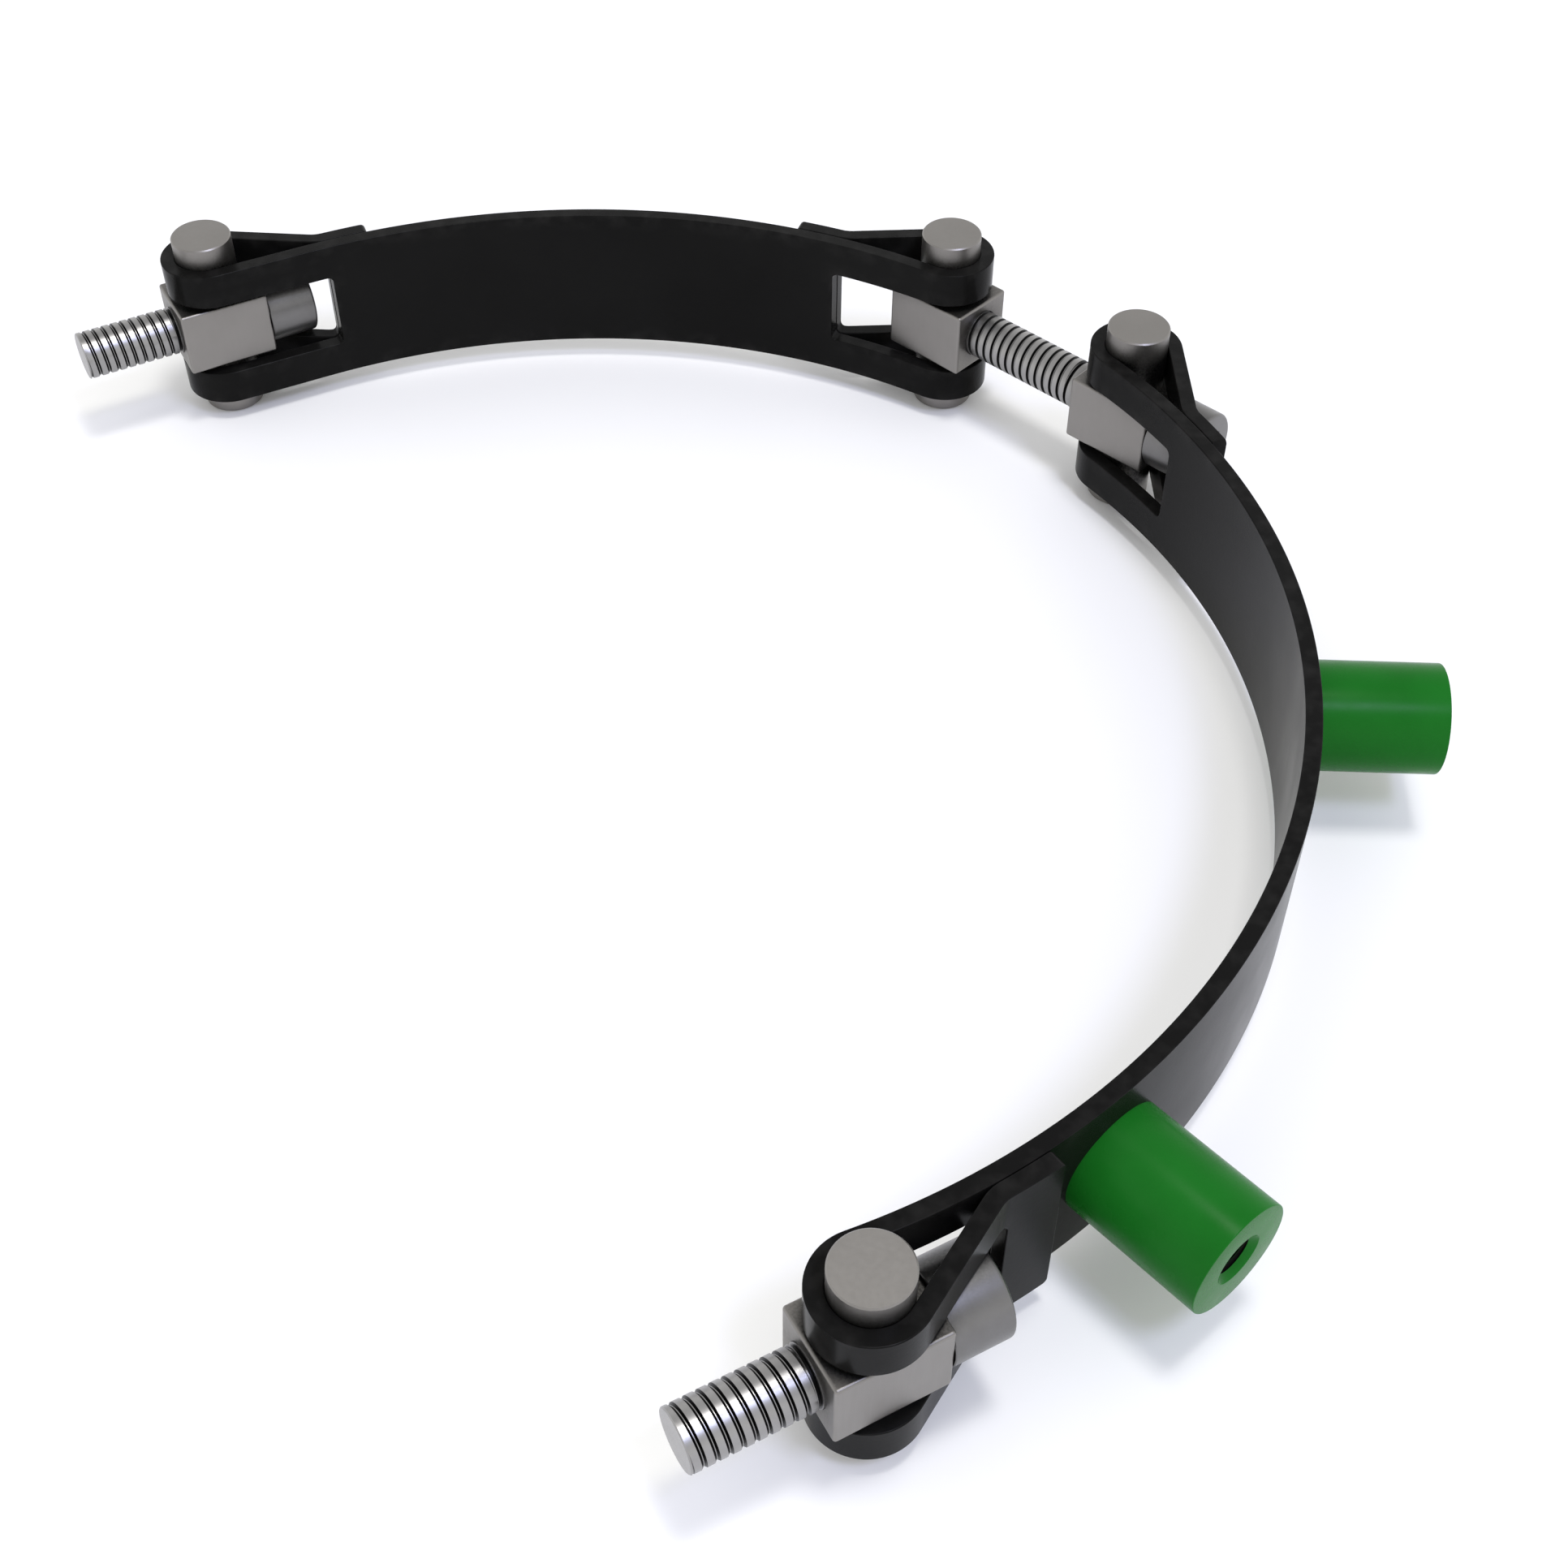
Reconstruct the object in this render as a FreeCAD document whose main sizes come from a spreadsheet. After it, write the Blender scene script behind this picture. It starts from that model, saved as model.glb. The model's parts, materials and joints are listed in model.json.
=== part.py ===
import FreeCAD, Part

import math
import os

import Sketcher

# Two-strap pipe repair clamp, in millimetres.
#
# Two bent steel straps hug a pipe. Each strap end is folded back round a
# vertical trunnion pin. Every pin passes through a square block, and a bolt
# passes crosswise through block and pin. The link bolt draws the two straps
# together; the two end bolts wait for the next strap of the chain. Two tapped
# bosses stand on the outside of the long strap.
#
# Frame: the origin is on the pipe's axis, half-way across the straps' width.
# +Z runs along the pipe and +X through the upper boss. Angles are measured
# from +X, counter-clockwise seen from +Z.

DIMENSIONS = [
    ("inner_radius", 210.0, "inner face of both straps, which is the pipe's radius"),
    ("strap_thickness", 4.75, "thickness of the strap bar"),
    ("strap_width", 50.8, "width of the strap bar along the pipe"),
    ("seam_gap", 0.2, "open seam between a folded tail and the strap under it"),
    ("seam_depth", 3.0, "depth of the open seam before the spot-welded middle"),
    ("bend_radius", 8.0, "inside radius of the bend between arm and tail"),
    ("kink_sweep", 9.5, "angle from a pin to the bend of its tail"),
    ("tail_sweep", 14.0, "angle from a pin to the end of its tail"),
    ("tail_corner", 1.6, "radius of a tail's two corners"),
    ("window_sweep", 9.9, "angle from a pin to the end of its window"),
    ("window_height", 26.8, "height of a window, between the two arms"),
    ("window_reach", 60.0, "length of a window's cut, past the whole loop"),
    ("window_corner", 2.0, "radius of a window's corners"),
    ("pin_radius", 10.0, "radius of the trunnion pins"),
    ("pin_length", 65.5, "length of the trunnion pins"),
    ("pin_chamfer", 0.4, "chamfer on both ends of a pin"),
    ("loop_clearance", 0.05, "running clearance of a strap's loop round its pin"),
    ("bore_clearance", 0.02, "slip clearance of a block's bore round its pin"),
    ("upper_pin_angle", 39.0, "pin at the upper end of the long strap"),
    ("lower_pin_angle", -65.2, "pin at the lower end of the long strap"),
    ("right_pin_angle", 59.1, "pin at the right end of the short strap"),
    ("straight_angle", 119.1, "where the short strap's left end runs on straight"),
    ("straight_length", 31.9, "length of that straight stretch"),
    ("block_length", 30.6, "trunnion block along its bolt"),
    ("block_depth", 24.3, "trunnion block across its bolt"),
    ("block_height", 22.7, "trunnion block along the pipe"),
    ("block_edge", 0.9, "rounding of a block's edges"),
    ("shank_radius", 8.0, "radius of a bolt's plain shank"),
    ("thread_radius", 7.9, "outer radius of a bolt's thread"),
    ("bolt_clearance", 0.08, "clearance of a bolt's shank in its block and pin"),
    ("bolt_chamfer", 0.4, "chamfer at a bolt's threaded end"),
    ("end_bolt_length", 63.3, "end bolt under its head"),
    ("end_bolt_plain", 15.8, "end of an end bolt's plain shank, from its pin's axis"),
    ("link_bolt_length", 100.0, "link bolt under its head"),
    ("link_bolt_plain", 20.0, "end of the link bolt's plain shank, from its pin's axis"),
    ("neck_radius", 7.25, "radius of the relief neck between shank and thread"),
    ("neck_width", 1.0, "width of that neck"),
    ("head_radius", 12.6, "radius of a bolt head"),
    ("head_height", 16.2, "height of a bolt head"),
    ("head_edge", 1.0, "chamfer round a head's outer face"),
    ("head_gap", 0.05, "gap between a head and its block"),
    ("socket_across_flats", 12.7, "hexagon socket across its flats"),
    ("socket_depth", 8.0, "depth of the hexagon socket"),
    ("end_bolt_tilt", 6.2, "end bolts point this far outward of the tangent"),
    ("upper_boss_angle", 0.0, "direction of the upper boss"),
    ("lower_boss_angle", -45.0, "direction of the lower boss"),
    ("boss_radius", 15.9, "outer radius of the bosses"),
    ("boss_reach", 253.0, "outer face of a boss, from the pipe's axis"),
    ("boss_edge", 0.3, "chamfer round a boss's outer face"),
    ("tap_radius", 5.55, "radius of the tapped hole's wall"),
    ("tap_depth", 28.0, "depth of the tapped hole"),
    ("tap_mouth_radius", 7.25, "radius of the countersink at the hole's mouth"),
]

doc = FreeCAD.newDocument("pipe_repair_clamp")
sheet = doc.addObject("Spreadsheet::Sheet", "Dimensions")
for row, (alias, value, note) in enumerate(DIMENSIONS, start=1):
    sheet.set(f"A{row}", note)
    sheet.set(f"B{row}", str(value))
    sheet.setAlias(f"B{row}", alias)
doc.recompute()


class Size:
    """A number together with the spreadsheet formula that gives it."""

    def __init__(self, value, formula):
        self.value = float(value)
        self.formula = formula

    def combine(self, other, sign, result):
        return Size(result, f"({self.formula} {sign} {as_size(other).formula})")

    def __add__(self, other):
        return self.combine(other, "+", self.value + as_size(other).value)

    def __sub__(self, other):
        return self.combine(other, "-", self.value - as_size(other).value)

    def __mul__(self, other):
        return self.combine(other, "*", self.value * as_size(other).value)

    def __truediv__(self, other):
        return self.combine(other, "/", self.value / as_size(other).value)

    def __neg__(self):
        return Size(-self.value, f"(0 - {self.formula})")


def as_size(number):
    return number if isinstance(number, Size) else Size(number, repr(float(number)))


def size(alias):
    """The Size of one cell of the sheet."""
    return Size(sheet.get(alias), f"Dimensions.{alias}")


ZERO = as_size(0)
outer_radius = size("inner_radius") + size("strap_thickness")
loop_radius = size("pin_radius") + size("loop_clearance")
pin_circle = outer_radius + loop_radius
tail_inner_radius = outer_radius + size("seam_gap")
tail_outer_radius = tail_inner_radius + size("strap_thickness")
bolt_hole_radius = size("shank_radius") + size("bolt_clearance")


def direction(angle):
    """Unit vector at an angle in degrees from +X."""
    turn = math.radians(angle)
    return FreeCAD.Vector(math.cos(turn), math.sin(turn), 0)


def angle_of(vector):
    return math.degrees(math.atan2(vector.y, vector.x))


# ---------------------------------------------------------------- sketches


def new_body(name):
    body = doc.addObject("PartDesign::Body", name)
    body.Label = name
    return body


def new_sketch(body, name, role, offset=None):
    """A sketch on one of the body's own origin planes."""
    plane = [item for item in body.Origin.OriginFeatures if item.Role == role][0]
    sketch = body.newObject("Sketcher::SketchObject", name)
    sketch.AttachmentSupport = [(plane, "")]
    sketch.MapMode = "FlatFace"
    if offset is not None:
        sketch.AttachmentOffset = offset
    return sketch


def constrain(sketch, amount, kind, *places):
    """Adds a dimension to the sketch and binds it to the sheet."""
    number = sketch.addConstraint(Sketcher.Constraint(kind, *places, amount.value))
    sketch.setExpression(f"Constraints[{number}]", amount.formula)


def place_point(sketch, edge, end, x, y):
    """Fixes one end of an edge at (x, y)."""
    for amount, kind, axis in ((x, "DistanceX", -2), (y, "DistanceY", -1)):
        if amount.value == 0:
            sketch.addConstraint(Sketcher.Constraint("PointOnObject", edge, end, axis))
        else:
            constrain(sketch, amount, kind, -1, 1, edge, end)


def draw_circle(sketch, radius):
    """A circle round the sketch's origin."""
    circle = Part.Circle(FreeCAD.Vector(0, 0, 0), FreeCAD.Vector(0, 0, 1), radius.value)
    edge = sketch.addGeometry(circle, False)
    sketch.addConstraint(Sketcher.Constraint("Coincident", edge, 3, -1, 1))
    constrain(sketch, radius, "Radius", edge)


def draw_polygon(sketch, corners):
    """A closed outline of straight lines through (x, y) pairs of Sizes."""
    points = [FreeCAD.Vector(x.value, y.value, 0) for x, y in corners]
    edges = []
    for start, end in zip(points, points[1:] + points[:1]):
        edges.append(sketch.addGeometry(Part.LineSegment(start, end), False))
    for before, after in zip(edges, edges[1:] + edges[:1]):
        sketch.addConstraint(Sketcher.Constraint("Coincident", before, 2, after, 1))
    for edge, (x, y) in zip(edges, corners):
        place_point(sketch, edge, 1, x, y)


def draw_rectangle(sketch, length, height):
    """A rectangle centred on the sketch's origin."""
    x, y = length / 2, height / 2
    draw_polygon(sketch, [(-x, -y), (x, -y), (x, y), (-x, y)])


def arc(centre, radius, start_angle, end_angle, forward):
    """A circular arc; forward means counter-clockwise from start to end."""
    if not forward:
        start_angle, end_angle = end_angle, start_angle
    while end_angle < start_angle:
        end_angle += 360
    circle = Part.Circle(centre, FreeCAD.Vector(0, 0, 1), radius)
    return Part.ArcOfCircle(circle, math.radians(start_angle), math.radians(end_angle))


# ---------------------------------------------------------------- features


def pad(body, name, sketch, length):
    """Pads a sketch by a length, half to each side of its plane."""
    feature = body.newObject("PartDesign::Pad", name)
    feature.Profile = sketch
    feature.SideType = "Symmetric"
    feature.Length = length.value
    feature.setExpression("Length", length.formula)
    return feature


def pocket(body, name, sketch, length, side="Symmetric", reverse=False):
    """Cuts a sketch out of the body, and makes sure that it removes something."""
    doc.recompute()
    before = body.Shape.Volume
    feature = body.newObject("PartDesign::Pocket", name)
    feature.Profile = sketch
    feature.SideType = side
    feature.Reversed = reverse
    feature.Length = length.value
    feature.setExpression("Length", length.formula)
    doc.recompute()
    assert body.Shape.Volume < before - 1e-6, f"{body.Label}: {name} cuts nothing"
    return feature


def revolve(body, name, sketch):
    """Turns a sketch once round its own horizontal axis."""
    feature = body.newObject("PartDesign::Revolution", name)
    feature.Profile = sketch
    feature.ReferenceAxis = (sketch, ["H_Axis"])
    feature.Angle = 360
    return feature


def round_edges(body, name, radius, wanted):
    """Rounds every edge of the body that the wanted function picks."""
    doc.recompute()
    base = body.Tip
    picked = []
    for number, edge in enumerate(base.Shape.Edges, start=1):
        if wanted(edge):
            picked.append(f"Edge{number}")
    assert picked, f"{body.Label}: {name} finds no edge"
    feature = body.newObject("PartDesign::Fillet", name)
    feature.Base = (base, picked)
    feature.Radius = radius.value
    feature.setExpression("Radius", radius.formula)
    doc.recompute()


# ------------------------------------------------------------------ straps


class StrapEnd:
    """One end of a strap: the loop round a pin, the arm and the folded tail.

    side is +1 where the strap runs from the pin towards larger angles, and -1
    where it runs towards smaller ones. turn_angle is where the strap leaves
    its circle, and straight is how far it runs on before the loop.
    """

    def __init__(self, name, turn_angle, side, straight=0.0):
        self.name = name
        self.side = side
        self.turn_angle = turn_angle
        self.straight = straight
        self.radial = direction(turn_angle)
        self.away = direction(turn_angle - 90 * side)
        self.pin = self.radial * pin_circle.value + self.away * straight
        self.pin_angle = angle_of(self.pin)
        self.fold_tail()

    def at(self, sweep):
        """Angle on the strap, this far from the pin."""
        return self.pin_angle + self.side * size(sweep).value

    def fold_tail(self):
        """Finds the arm's outward normal and the centre of the tail's bend."""
        loop_outer = loop_radius.value + size("strap_thickness").value
        bend = size("bend_radius").value
        kink = direction(self.at("kink_sweep")) * tail_outer_radius.value
        reach = kink - self.pin
        lean = math.degrees(math.acos(loop_outer / reach.Length))
        self.normal_angle = angle_of(reach) - self.side * lean
        self.normal = direction(self.normal_angle)
        height = self.normal.dot(self.pin) + loop_outer + bend
        along = direction(self.normal_angle - 90 * self.side)
        slide = math.sqrt((tail_outer_radius.value + bend) ** 2 - height**2)
        self.bend_centre = self.normal * height + along * slide

    def face(self, main_radius, loop, bend, tail_radius):
        """One face of the strap from its circle to the tail's end.

        Returns the edges in order, each with its radius, and the last point.
        """
        start = self.radial * main_radius.value
        loop_start = start + self.away * self.straight
        edges = []
        if self.straight:
            edges.append((Part.LineSegment(start, loop_start), None))
        forward = self.side > 0
        loop_arc = arc(self.pin, loop.value, self.turn_angle + 180, self.normal_angle, forward)
        edges.append((loop_arc, loop))
        arm_start = self.pin + self.normal * loop.value
        arm_end = self.bend_centre - self.normal * bend.value
        edges.append((Part.LineSegment(arm_start, arm_end), None))
        centre_angle = angle_of(self.bend_centre)
        bend_arc = arc(
            self.bend_centre, bend.value, self.normal_angle + 180, centre_angle + 180, not forward
        )
        edges.append((bend_arc, bend))
        tail_end = self.at("tail_sweep")
        origin = FreeCAD.Vector(0, 0, 0)
        edges.append((arc(origin, tail_radius.value, centre_angle, tail_end, forward), tail_radius))
        return edges, direction(tail_end) * tail_radius.value


def draw_outline(sketch, shapes):
    """Adds lines and arcs that form a closed outline, and joins their ends."""
    edges = [sketch.addGeometry(shape, False) for shape in shapes]
    pairs = [(a, b) for a in (2, 1) for b in (1, 2)]
    for before, after in zip(edges, edges[1:] + edges[:1]):
        gaps = [(sketch.getPoint(before, a) - sketch.getPoint(after, b)).Length for a, b in pairs]
        assert min(gaps) < 1e-6, f"{sketch.Label} is open"
        before_end, after_end = pairs[gaps.index(min(gaps))]
        joint = Sketcher.Constraint("Coincident", before, before_end, after, after_end)
        sketch.addConstraint(joint)
    return edges


def draw_strap(sketch, low_end, high_end):
    """The strap's edge-on outline: one bar of constant thickness, folded back
    round a pin at both ends. low_end has the smaller angle."""
    origin = FreeCAD.Vector(0, 0, 0)
    thickness = size("strap_thickness")
    inside = (
        size("inner_radius"), loop_radius + thickness, size("bend_radius"), tail_outer_radius
    )
    outside = (outer_radius, loop_radius, size("bend_radius") + thickness, tail_inner_radius)
    low_inside, low_outer_point = low_end.face(*inside)
    low_outside, low_inner_point = low_end.face(*outside)
    high_inside, high_outer_point = high_end.face(*inside)
    high_outside, high_inner_point = high_end.face(*outside)
    span = (low_end.turn_angle, high_end.turn_angle)
    outline = [(arc(origin, inside[0].value, *span, True), inside[0])]
    outline += high_inside
    outline.append((Part.LineSegment(high_outer_point, high_inner_point), None))
    outline += high_outside[::-1]
    outline.append((arc(origin, outside[0].value, *span, True), outside[0]))
    outline += low_outside
    outline.append((Part.LineSegment(low_inner_point, low_outer_point), None))
    outline += low_inside[::-1]
    edges = draw_outline(sketch, [shape for shape, radius in outline])
    for edge, (shape, radius) in zip(edges, outline):
        if radius is None:
            continue
        if (shape.Center - origin).Length < 1e-6:
            sketch.addConstraint(Sketcher.Constraint("Coincident", edge, 3, -1, 1))
        constrain(sketch, radius, "Radius", edge)


def draw_ring_piece(sketch, inner, outer, start_angle, end_angle):
    """A piece of a flat ring round the origin."""
    origin = FreeCAD.Vector(0, 0, 0)
    low, high = sorted((start_angle, end_angle))
    edges = draw_outline(sketch, [
        arc(origin, outer.value, low, high, True),
        Part.LineSegment(direction(high) * outer.value, direction(high) * inner.value),
        arc(origin, inner.value, low, high, True),
        Part.LineSegment(direction(low) * inner.value, direction(low) * outer.value),
    ])
    for edge, radius in ((edges[0], outer), (edges[2], inner)):
        sketch.addConstraint(Sketcher.Constraint("Coincident", edge, 3, -1, 1))
        constrain(sketch, radius, "Radius", edge)


def cut_window(body, end):
    """Opens the window that splits an end's loop into two arms.

    The sketch stands on the pipe's axis, square to the strap at the window's
    end, and is cut outwards through both layers and the whole loop.
    """
    turn = FreeCAD.Rotation(FreeCAD.Vector(0, 1, 0), end.at("window_sweep") + 90)
    offset = FreeCAD.Placement(FreeCAD.Vector(0, 0, 0), turn)
    sketch = new_sketch(body, f"window_{end.name}_sketch", "XZ_Plane", offset)
    reach = size("window_reach") * (-end.side)
    half = size("window_height") / 2
    draw_polygon(sketch, [(ZERO, -half), (reach, -half), (reach, half), (ZERO, half)])
    pocket(body, f"window_{end.name}", sketch, size("boss_reach"), "One side", True)

    def is_corner(edge):
        middle = edge.CenterOfMass
        if edge.Length > 2 * size("strap_thickness").value + 2:
            return False
        upright = abs(abs(middle.z) - half.value) < 0.01
        off_angle = abs(angle_of(middle) - end.at("window_sweep"))
        return upright and off_angle < 0.05

    round_edges(body, f"window_{end.name}_corners", size("window_corner"), is_corner)


def build_strap(name, low_end, high_end):
    body = new_body(name)
    outline = new_sketch(body, f"{name}_outline", "XY_Plane")
    draw_strap(outline, low_end, high_end)
    pad(body, f"{name}_bar", outline, size("strap_width"))
    weld_height = size("strap_width") - size("seam_depth") * 2
    weld_margin = size("seam_depth").value / outer_radius.value
    for end in (low_end, high_end):
        weld = new_sketch(body, f"{end.name}_weld_sketch", "XY_Plane")
        last = end.at("tail_sweep") - end.side * math.degrees(weld_margin)
        first = angle_of(end.bend_centre) + end.side * math.degrees(weld_margin)
        draw_ring_piece(weld, outer_radius, tail_inner_radius, first, last)
        pad(body, f"{end.name}_weld", weld, weld_height)
    doc.recompute()
    for end in (low_end, high_end):
        cut_window(body, end)

    def is_tail_corner(edge):
        middle = edge.CenterOfMass
        if abs(edge.Length - size("strap_thickness").value) > 0.01:
            return False
        if abs(abs(middle.z) - size("strap_width").value / 2) > 0.01:
            return False
        angles = [angle_of(middle) - end.at("tail_sweep") for end in (low_end, high_end)]
        return min(abs(angle) for angle in angles) < 0.05

    round_edges(body, f"{name}_tail_corners", size("tail_corner"), is_tail_corner)
    return body


# ------------------------------------------------- trunnions, bolts, bosses


def placed(end, bolt_angle):
    """Where a trunnion's or a bolt's own frame goes: its origin is the pin's
    middle and its +X points to the bolt's threaded end."""
    turn = FreeCAD.Rotation(FreeCAD.Vector(0, 0, 1), bolt_angle)
    return FreeCAD.Placement(end.pin, turn)


def build_block(name, placement):
    """A square block with an upright bore for the pin and a cross hole."""
    body = new_body(name)
    outline = new_sketch(body, f"{name}_outline", "XY_Plane")
    draw_rectangle(outline, size("block_length"), size("block_depth"))
    pad(body, f"{name}_solid", outline, size("block_height"))
    round_edges(body, f"{name}_edges", size("block_edge"), lambda edge: True)
    bore = new_sketch(body, f"{name}_bore_sketch", "XY_Plane")
    draw_circle(bore, size("pin_radius") + size("bore_clearance"))
    pocket(body, f"{name}_bore", bore, size("block_height") * 2)
    hole = new_sketch(body, f"{name}_hole_sketch", "YZ_Plane")
    draw_circle(hole, bolt_hole_radius)
    pocket(body, f"{name}_hole", hole, size("block_length") * 2)
    body.Placement = placement
    return body


def build_pin(name, placement):
    """A round pin with a cross hole for the bolt that locks it in its block."""
    body = new_body(name)
    outline = new_sketch(body, f"{name}_outline", "XY_Plane")
    draw_circle(outline, size("pin_radius"))
    pad(body, f"{name}_bar", outline, size("pin_length"))
    doc.recompute()
    base = body.Tip
    chamfer = body.newObject("PartDesign::Chamfer", f"{name}_chamfer")
    rims = []
    for number, edge in enumerate(base.Shape.Edges, start=1):
        if edge.Closed:
            rims.append(f"Edge{number}")
    chamfer.Base = (base, rims)
    chamfer.Size = size("pin_chamfer").value
    chamfer.setExpression("Size", size("pin_chamfer").formula)
    hole = new_sketch(body, f"{name}_hole_sketch", "YZ_Plane")
    draw_circle(hole, bolt_hole_radius)
    pocket(body, f"{name}_hole", hole, size("pin_radius") * 4)
    body.Placement = placement
    return body


def build_bolt(name, length, plain, placement):
    """A socket head bolt along +X, its head on the block's -X face.

    length is measured under the head. plain is where the plain shank ends, and
    a short relief neck lies between it and the thread.
    """
    body = new_body(name)
    seat = -(size("block_length") / 2 + size("head_gap"))
    back = seat - size("head_height")
    tip = seat + length
    head, shank, thread = size("head_radius"), size("shank_radius"), size("thread_radius")
    neck, start = size("neck_radius"), plain + size("neck_width")
    edge, chamfer = size("head_edge"), size("bolt_chamfer")
    outline = new_sketch(body, f"{name}_outline", "XY_Plane")
    draw_polygon(outline, [
        (back, ZERO), (back, head - edge), (back + edge, head), (seat, head), (seat, shank),
        (plain, shank), (plain, neck), (start, neck), (start, thread),
        (tip - chamfer, thread), (tip, thread - chamfer), (tip, ZERO),
    ])
    revolve(body, f"{name}_turned", outline)
    offset = FreeCAD.Placement(FreeCAD.Vector(0, 0, back.value), FreeCAD.Rotation())
    socket = new_sketch(body, f"{name}_socket_sketch", "YZ_Plane", offset)
    socket.setExpression("AttachmentOffset.Base.z", back.formula)
    half_flat = size("socket_across_flats") / 2
    corner = half_flat / math.cos(math.radians(30))
    draw_polygon(socket, [
        (half_flat, corner / 2), (ZERO, corner), (-half_flat, corner / 2),
        (-half_flat, -corner / 2), (ZERO, -corner), (half_flat, -corner / 2),
    ])
    pocket(body, f"{name}_socket", socket, size("socket_depth"), "One side", True)
    body.Placement = placement
    return body


def build_boss(name, angle):
    """A round boss along +X, saddled onto the strap, with a blind tapped hole."""
    body = new_body(name)
    face, radius, edge = size("boss_reach"), size("boss_radius"), size("boss_edge")
    foot = size("inner_radius") - size("strap_thickness")
    outline = new_sketch(body, f"{name}_outline", "XY_Plane")
    draw_polygon(outline, [
        (foot, ZERO), (foot, radius), (face - edge, radius), (face, radius - edge), (face, ZERO)
    ])
    revolve(body, f"{name}_bar", outline)
    saddle = new_sketch(body, f"{name}_saddle_sketch", "XY_Plane")
    draw_circle(saddle, outer_radius)
    pocket(body, f"{name}_saddle", saddle, radius * 4)
    hole = new_sketch(body, f"{name}_hole_sketch", "XY_Plane")
    tap, mouth = size("tap_radius"), size("tap_mouth_radius")
    floor = face - size("tap_depth")
    lip = face - (mouth - tap)
    drill_point = floor - tap * math.tan(math.radians(31))
    over = face + edge
    draw_polygon(hole, [
        (drill_point, ZERO), (floor, tap), (lip, tap), (face, mouth), (over, mouth), (over, ZERO)
    ])
    doc.recompute()
    before = body.Shape.Volume
    groove = body.newObject("PartDesign::Groove", f"{name}_tapped_hole")
    groove.Profile = hole
    groove.ReferenceAxis = (hole, ["H_Axis"])
    groove.Angle = 360
    doc.recompute()
    assert body.Shape.Volume < before - 1, f"{name}: the tapped hole cuts nothing"
    turn = FreeCAD.Rotation(FreeCAD.Vector(0, 0, 1), angle.value)
    body.Placement = FreeCAD.Placement(FreeCAD.Vector(0, 0, 0), turn)
    body.setExpression("Placement.Rotation.Angle", angle.formula)
    return body


# ---------------------------------------------------------------- assembly

upper_end = StrapEnd("upper_end", size("upper_pin_angle").value, -1)
lower_end = StrapEnd("lower_end", size("lower_pin_angle").value, 1)
right_end = StrapEnd("right_end", size("right_pin_angle").value, 1)
left_end = StrapEnd(
    "left_end", size("straight_angle").value, -1, size("straight_length").value
)

link_angle = angle_of(right_end.pin - upper_end.pin)
tilt = size("end_bolt_tilt").value
left_angle = left_end.pin_angle + 90 - tilt
lower_angle = lower_end.pin_angle - 90 + tilt

parts = [
    build_strap("long_strap", lower_end, upper_end),
    build_strap("short_strap", right_end, left_end),
    build_boss("upper_boss", size("upper_boss_angle")),
    build_boss("lower_boss", size("lower_boss_angle")),
]
for station, end, bolt_angle in (
    ("link", upper_end, link_angle),
    ("threaded", right_end, link_angle),
    ("left", left_end, left_angle),
    ("lower", lower_end, lower_angle),
):
    parts.append(build_block(f"{station}_trunnion_block", placed(end, bolt_angle)))
    parts.append(build_pin(f"{station}_trunnion_pin", placed(end, bolt_angle)))
for name, end, bolt_angle, style in (
    ("link_bolt", upper_end, link_angle, "link_bolt"),
    ("left_bolt", left_end, left_angle, "end_bolt"),
    ("lower_bolt", lower_end, lower_angle, "end_bolt"),
):
    length, plain = size(f"{style}_length"), size(f"{style}_plain")
    parts.append(build_bolt(name, length, plain, placed(end, bolt_angle)))

doc.recompute()
for item in doc.Objects:
    states = set(item.State)
    assert not states & {"Invalid", "Error"}, f"{item.Label} is {item.State}"
for part in parts:
    shape = part.Shape
    assert not shape.isNull() and shape.isValid(), f"{part.Label} has a bad shape"
    assert len(shape.Solids) == 1, f"{part.Label} has {len(shape.Solids)} solids"

os.makedirs("parts", exist_ok=True)
for part in parts:
    part.Shape.exportStep(os.path.join("parts", part.Label + ".step"))
    print(f"{part.Label}: {part.Shape.Volume / 1000:.2f} cm3")
for end in (upper_end, lower_end, right_end, left_end):
    print(f"{end.name}: pin at {end.pin_angle:.3f} degrees, ({end.pin.x:.4f}, {end.pin.y:.4f})")
print(f"bolt directions: {link_angle:.3f}, {left_angle:.3f}, {lower_angle:.3f} degrees")
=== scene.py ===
import json
import math

import bpy
from mathutils import Matrix, Vector
from mathutils.geometry import delaunay_2d_cdt


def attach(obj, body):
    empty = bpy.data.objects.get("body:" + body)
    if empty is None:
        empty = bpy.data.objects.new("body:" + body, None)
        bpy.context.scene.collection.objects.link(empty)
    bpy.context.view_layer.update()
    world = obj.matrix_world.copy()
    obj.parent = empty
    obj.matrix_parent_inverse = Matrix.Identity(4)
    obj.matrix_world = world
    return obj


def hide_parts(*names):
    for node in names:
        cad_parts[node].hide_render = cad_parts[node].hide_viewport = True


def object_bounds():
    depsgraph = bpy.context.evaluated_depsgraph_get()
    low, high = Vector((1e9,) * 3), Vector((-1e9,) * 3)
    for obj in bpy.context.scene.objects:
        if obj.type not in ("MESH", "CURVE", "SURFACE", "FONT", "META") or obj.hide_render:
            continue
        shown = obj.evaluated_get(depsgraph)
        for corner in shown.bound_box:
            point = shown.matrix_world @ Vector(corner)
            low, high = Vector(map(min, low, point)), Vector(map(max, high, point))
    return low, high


# Looks of the pipe repair clamp, in metres, in the CAD frame: the origin is on
# the pipe's axis, +Z runs along the pipe, and angles are measured from +X.
# The straps, bolts and bosses are detailed meshes that stand for their plain
# CAD nodes; the trunnion blocks and pins are the CAD nodes themselves.

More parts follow.
